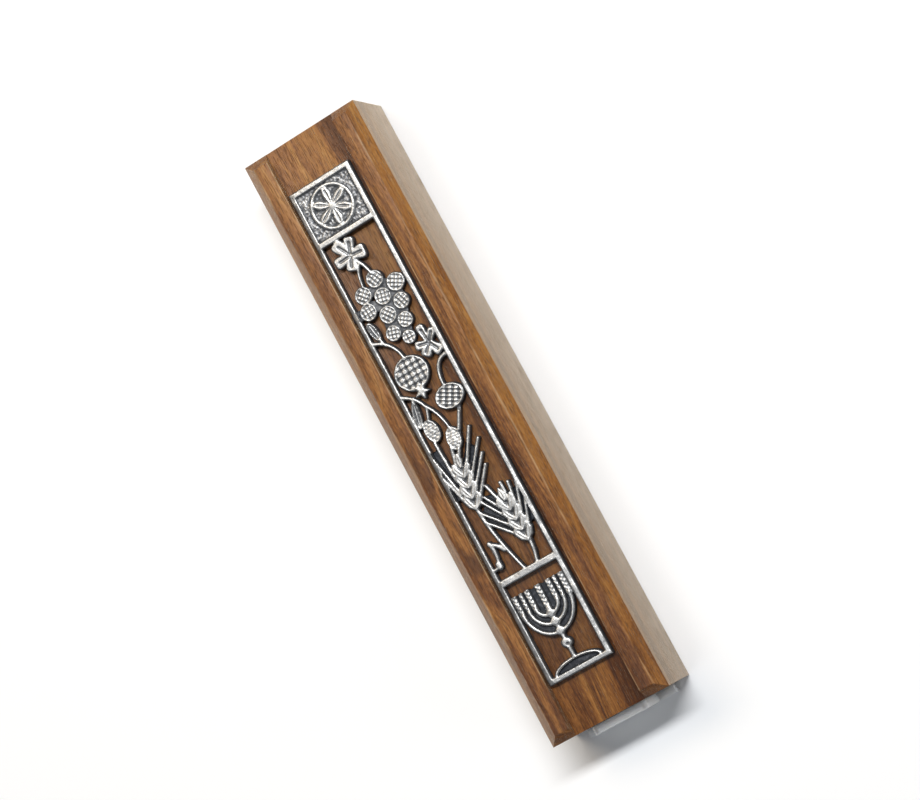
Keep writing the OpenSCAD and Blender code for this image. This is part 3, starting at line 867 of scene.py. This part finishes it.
def draw_casting():
    rng = np.random.default_rng(7)
    c = Casting()
    # Painted shadow: black sheets between the awns
    for corners in AWN_SHADOW_SHEETS:
        c.sheet(corners, 0.7)
    for link in GRAPE_LINKS:
        c.bar(link, (2.3, 2.3), 1.27, 1.2)
    for start, pull, end, width in STEMS:
        c.bar(curve(start, pull, end), (width, width * 0.8), TOP - 0.1, 1.3)
    c.bar(LOW_AWN, AWN_WIDTHS, 1.35, 1.15)
    for awn in AWNS:
        c.bar(awn, AWN_WIDTHS, TOP - 0.08, 1.45)
    vine_leaf(c, (-1.65, 40.9), UPPER_LOBES)
    vine_leaf(c, (4.5, 16.3), LOWER_LOBES)
    for i, (x, y, r) in enumerate(GRAPES):
        grape(c, x, y, r, 25 + 17 * i)
    narrow_leaf(c, (-5.2, 24.3), 2.4, 1.0, 100)
    narrow_leaf(c, (-5.5, 4.2), 3.1, 0.95, 79)
    pomegranate(c, (-2.1, 12.6), 4.05, 3.95, (1.4, 1.33), (0.15, -0.4), 0)
    pomegranate(c, (2.9, 4.4), 3.45, 2.8, (1.35, 0.85), (0, 0), -30)
    crown(c, np.array((-2.0, 8.2)))
    olive(c, (-4.2, -0.2), 4)
    olive(c, (-0.7, -3.8), -8)
    c.bar([(-5.1, -31.5), (-5.1, -32.1)], (1.6, 1.6), TOP - 0.05, 1.1)
    wheat_ear(c, np.array((-3.6, -19.0)), 82, 2.35)
    wheat_ear(c, np.array((3.3, -29.9)), 93, 2.4)
    lamp(c)
    stippled_panel(c, rng)
    frame_bars(c)
    # Hand-made unevenness of the master: a slow swell, and small dents
    swell = blur(rng.normal(0, 1, c.x.shape), 6, 2)
    dents = blur(rng.normal(0, 1, c.x.shape), 1, 2)
    c.height += 0.03 * swell / swell.std() + 0.007 * dents / dents.std()
    c.height = blur(np.minimum(c.height, TOP), 1, 1)
    return c


def polish_and_shade_shares(c, solid):
    """How bright each point is: tumbling polished high and proud points, patina keeps the sunk grounds dark,
    and the sheets behind the awns are black as painted shadow.
    """
    mean = blur(c.height * solid, 3, 2) / np.maximum(blur(solid, 3, 2), 1e-3)
    proud = c.height - mean
    high = smooth_step(c.height, 0.95, 1.75)
    low = smooth_step(c.height, 1.45, 1.1)
    return np.clip(0.10 + 0.62 * high + 1.5 * proud, 0, 1) * (1 - c.hollow * low)


def fitted_grid(c):
    """x, y and the outside distance of each grid point, with points near the outline moved on to it."""
    outside = c.outside.copy()
    slope_y, slope_x = np.gradient(outside, STEP)
    near = np.abs(outside) < STEP * 0.5
    # Where two shapes meet the slope runs out, and is held up so that no point jumps
    length = np.maximum(slope_x ** 2 + slope_y ** 2, 0.2)
    x = np.where(near, c.x - outside * slope_x / length, c.x)
    y = np.where(near, c.y - outside * slope_y / length, c.y)
    outside[near] = 0.0
    return x, y, outside


def grid_faces(kept):
    """(quads, triangles) between the kept grid points, as rows of point numbers."""
    ids = np.arange(kept.size).reshape(kept.shape)
    corners = np.stack([ids[:-1, :-1], ids[:-1, 1:], ids[1:, 1:], ids[1:, :-1]], -1).reshape(-1, 4)
    inside = kept.ravel()[corners]
    count = inside.sum(1)
    three = count == 3
    return corners[count == 4], corners[three][inside[three]].reshape(-1, 3)


def rim_edges_of(quads, triangles, size):
    """The edges that only one face has, in that face's direction, and every point in use."""
    starts = np.concatenate([quads.ravel(), triangles.ravel()])
    ends = np.concatenate([np.roll(quads, -1, 1).ravel(), np.roll(triangles, -1, 1).ravel()])
    rim = ~np.isin(starts * size + ends, ends * size + starts)
    return np.stack([starts[rim], ends[rim]], 1), np.unique(starts)


def numbered(points, size, first):
    """A table from grid point number to mesh point number, counting from first."""
    table = np.full(size, -1)
    table[points] = first + np.arange(len(points))
    return table


def back_faces(c, flat, edges):
    """Faces that fill the rim on the flat back, as rim point numbers. They need no points of their own."""
    out, _, fill, origins, _, _ = delaunay_2d_cdt(flat, edges, [], 0, 1e-7)
    faces = []
    for face in fill:
        mid = sum((out[i] for i in face), Vector((0, 0))) / len(face)
        column = (mid.x - c.xs[0]) / STEP
        row = (mid.y - c.ys[0]) / STEP
        if sample(c.outside, row, column) < 0:
            faces.append([origins[i][0] for i in reversed(face)])
    return faces


def casting_mesh(c):
    """The casting's points in metres from its middle and its back, its faces, and how bright its polish,
    patina and painted shadow make each point.
    """
    x, y, outside = fitted_grid(c)
    kept = outside <= 0
    polish_and_shade = polish_and_shade_shares(c, kept.astype(float))
    quads, triangles = grid_faces(kept)
    rim_edges, used = rim_edges_of(quads, triangles, kept.size)
    rim_points = np.unique(rim_edges)
    front_id = numbered(used, kept.size, 0)
    back_id = numbered(rim_points, kept.size, len(used))
    flat_x, flat_y = x.ravel(), y.ravel()
    points = np.concatenate([
        np.stack([flat_x[used], flat_y[used], c.height.ravel()[used]], 1),
        np.stack([flat_x[rim_points], flat_y[rim_points], np.zeros(len(rim_points))], 1)]) * MM
    faces = [tuple(f) for f in front_id[quads].tolist() + front_id[triangles].tolist()]
    for a, b in rim_edges.tolist():
        faces.append((int(front_id[a]), int(back_id[a]), int(back_id[b]), int(front_id[b])))
    rim_index = numbered(rim_points, kept.size, 0)
    flat = [Vector((flat_x[p], flat_y[p])) for p in rim_points.tolist()]
    for face in back_faces(c, flat, rim_index[rim_edges].tolist()):
        faces.append(tuple(len(used) + i for i in face))
    values = np.concatenate([polish_and_shade.ravel()[used], np.zeros(len(rim_points))])
    return points, faces, values


def make_plaque():
    low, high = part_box("plaque")
    points, faces, polish_and_shade = casting_mesh(draw_casting())
    points += np.array([(low.x + high.x) / 2, (low.y + high.y) / 2, low.z])
    mesh = bpy.data.meshes.new("cast_plaque")
    mesh.from_pydata(points.tolist(), [], faces)
    mesh.attributes.new("polish_and_shade", "FLOAT", "POINT").data.foreach_set("value", polish_and_shade)
    mesh.validate()
    mesh.shade_smooth()
    mesh.set_sharp_from_angle(angle=math.radians(55))
    return place_piece("cast_plaque", mesh, pewter_material(), "case", "pewter", "plaque")


# ---------------------------------------------------------------- pieces from the CAD's own faces

def softened(node, name, round_mm):
    """A copy of a CAD node's faces with every sharp edge rounded over."""
    sharp = math.radians(24)
    shape = bmesh.new()
    shape.from_mesh(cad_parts[node].data)
    bmesh.ops.remove_doubles(shape, verts=shape.verts, dist=1e-7)
    bmesh.ops.dissolve_limit(
        shape, angle_limit=math.radians(1), verts=shape.verts, edges=shape.edges, delimit=set())
    hard = [e for e in shape.edges if len(e.link_faces) == 2 and e.calc_face_angle(0) > sharp]
    bmesh.ops.bevel(
        shape, geom=hard, offset=round_mm * MM, offset_type="OFFSET", segments=3, profile=0.5,
        affect="EDGES", clamp_overlap=True)
    bmesh.ops.triangulate(shape, faces=[f for f in shape.faces if len(f.verts) > 4])
    mesh = bpy.data.meshes.new(name)
    shape.to_mesh(mesh)
    shape.free()
    mesh.shade_smooth()
    mesh.set_sharp_from_angle(angle=math.radians(38))
    return mesh


def make_case():
    mesh = softened("wood_case", "case_block", round_mm=0.22)
    return place_piece("case_block", mesh, wood_material(), "case", "wood", "wood_case")


def make_back_plate():
    mesh = softened("back_plate", "slide_plate", round_mm=0.12)
    return place_piece("slide_plate", mesh, plastic_material(), "plate", "white_plastic", "back_plate")


# ---------------------------------------------------------------- scroll and its wrap

# The parchment's thickness, its number of turns and the radius of the hole down its middle, and the
# film's thickness, its number of turns and the depth that they fill. Lengths are in millimetres.
PARCHMENT_THICK, PARCHMENT_TURNS, CORE_R = 0.26, 6.2, 1.2
FILM_THICK, FILM_TURNS, FILM_DEPTH = 0.1, 1.2, 0.28
SHEET_ROWS = 40
STEPS_A_TURN = 48


def swept_sheet(section, y_low, y_high, name):
    """A closed thin sheet: section is a loop of (x, z) points, swept along Y."""
    shape = bmesh.new()
    rings = []
    for i in range(SHEET_ROWS + 1):
        y = y_low + (y_high - y_low) * i / SHEET_ROWS
        rings.append([shape.verts.new((x, y, z)) for x, z in section])
    count = len(section)
    for a, b in zip(rings, rings[1:]):
        for i in range(count):
            j = (i + 1) % count
            shape.faces.new((a[i], a[j], b[j], b[i]))
    # The section runs out along one face of the sheet and back along the other, so that quads from
    # face to face close the two ends
    half = count // 2
    for ring, turn in ((rings[0], 1), (rings[-1], -1)):
        for i in range(half - 1):
            quad = (ring[i], ring[count - 1 - i], ring[count - 2 - i], ring[i + 1])
            shape.faces.new(quad[::turn])
    bmesh.ops.recalc_face_normals(shape, faces=shape.faces)
    mesh = bpy.data.meshes.new(name)
    shape.to_mesh(mesh)
    shape.free()
    mesh.shade_smooth()
    mesh.set_sharp_from_angle(angle=math.radians(50))
    return mesh


def rolled_section(mid, r_in, r_out, turns, thick, start):
    """Loop round a sheet of that thickness rolled from r_in to r_out about mid, all in metres."""
    steps = int(turns * STEPS_A_TURN)
    outer, inner = [], []
    for i in range(steps + 1):
        s = i / steps
        a = start + 2 * math.pi * turns * s
        r = r_in + thick + (r_out - r_in - thick) * s
        outer.append((mid[0] + r * math.cos(a), mid[1] + r * math.sin(a)))
        inner.append((mid[0] + (r - thick) * math.cos(a), mid[1] + (r - thick) * math.sin(a)))
    return outer + inner[::-1]


def roll_place(low, high):
    """(middle in X and Z, radius) of the roll along Y that fills a box."""
    return ((low.x + high.x) / 2, (low.z + high.z) / 2), (high.x - low.x) / 2


def make_scroll():
    low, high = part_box("parchment_scroll")
    mid, r_out = roll_place(low, high)
    section = rolled_section(mid, CORE_R * MM, r_out, PARCHMENT_TURNS, PARCHMENT_THICK * MM, start=0.6)
    mesh = swept_sheet(section, low.y, high.y, "rolled_parchment")
    return place_piece(
        "rolled_parchment", mesh, parchment_material(), "scroll", "parchment", "parchment_scroll")


def make_wrap():
    low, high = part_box("scroll_wrap")
    mid, r_out = roll_place(low, high)
    r_in = r_out - FILM_DEPTH * MM
    section = rolled_section(mid, r_in, r_out, FILM_TURNS, FILM_THICK * MM, start=2.0)
    mesh = swept_sheet(section, low.y, high.y, "film_wrap")
    return place_piece("film_wrap", mesh, film_material(), "scroll", "wrap", "scroll_wrap")


# ---------------------------------------------------------------- build

make_camera()
make_world()
make_floor()
make_lights()
bpy.context.scene.view_settings.view_transform = "Standard"

make_case()
make_plaque()
make_back_plate()
make_scroll()
make_wrap()
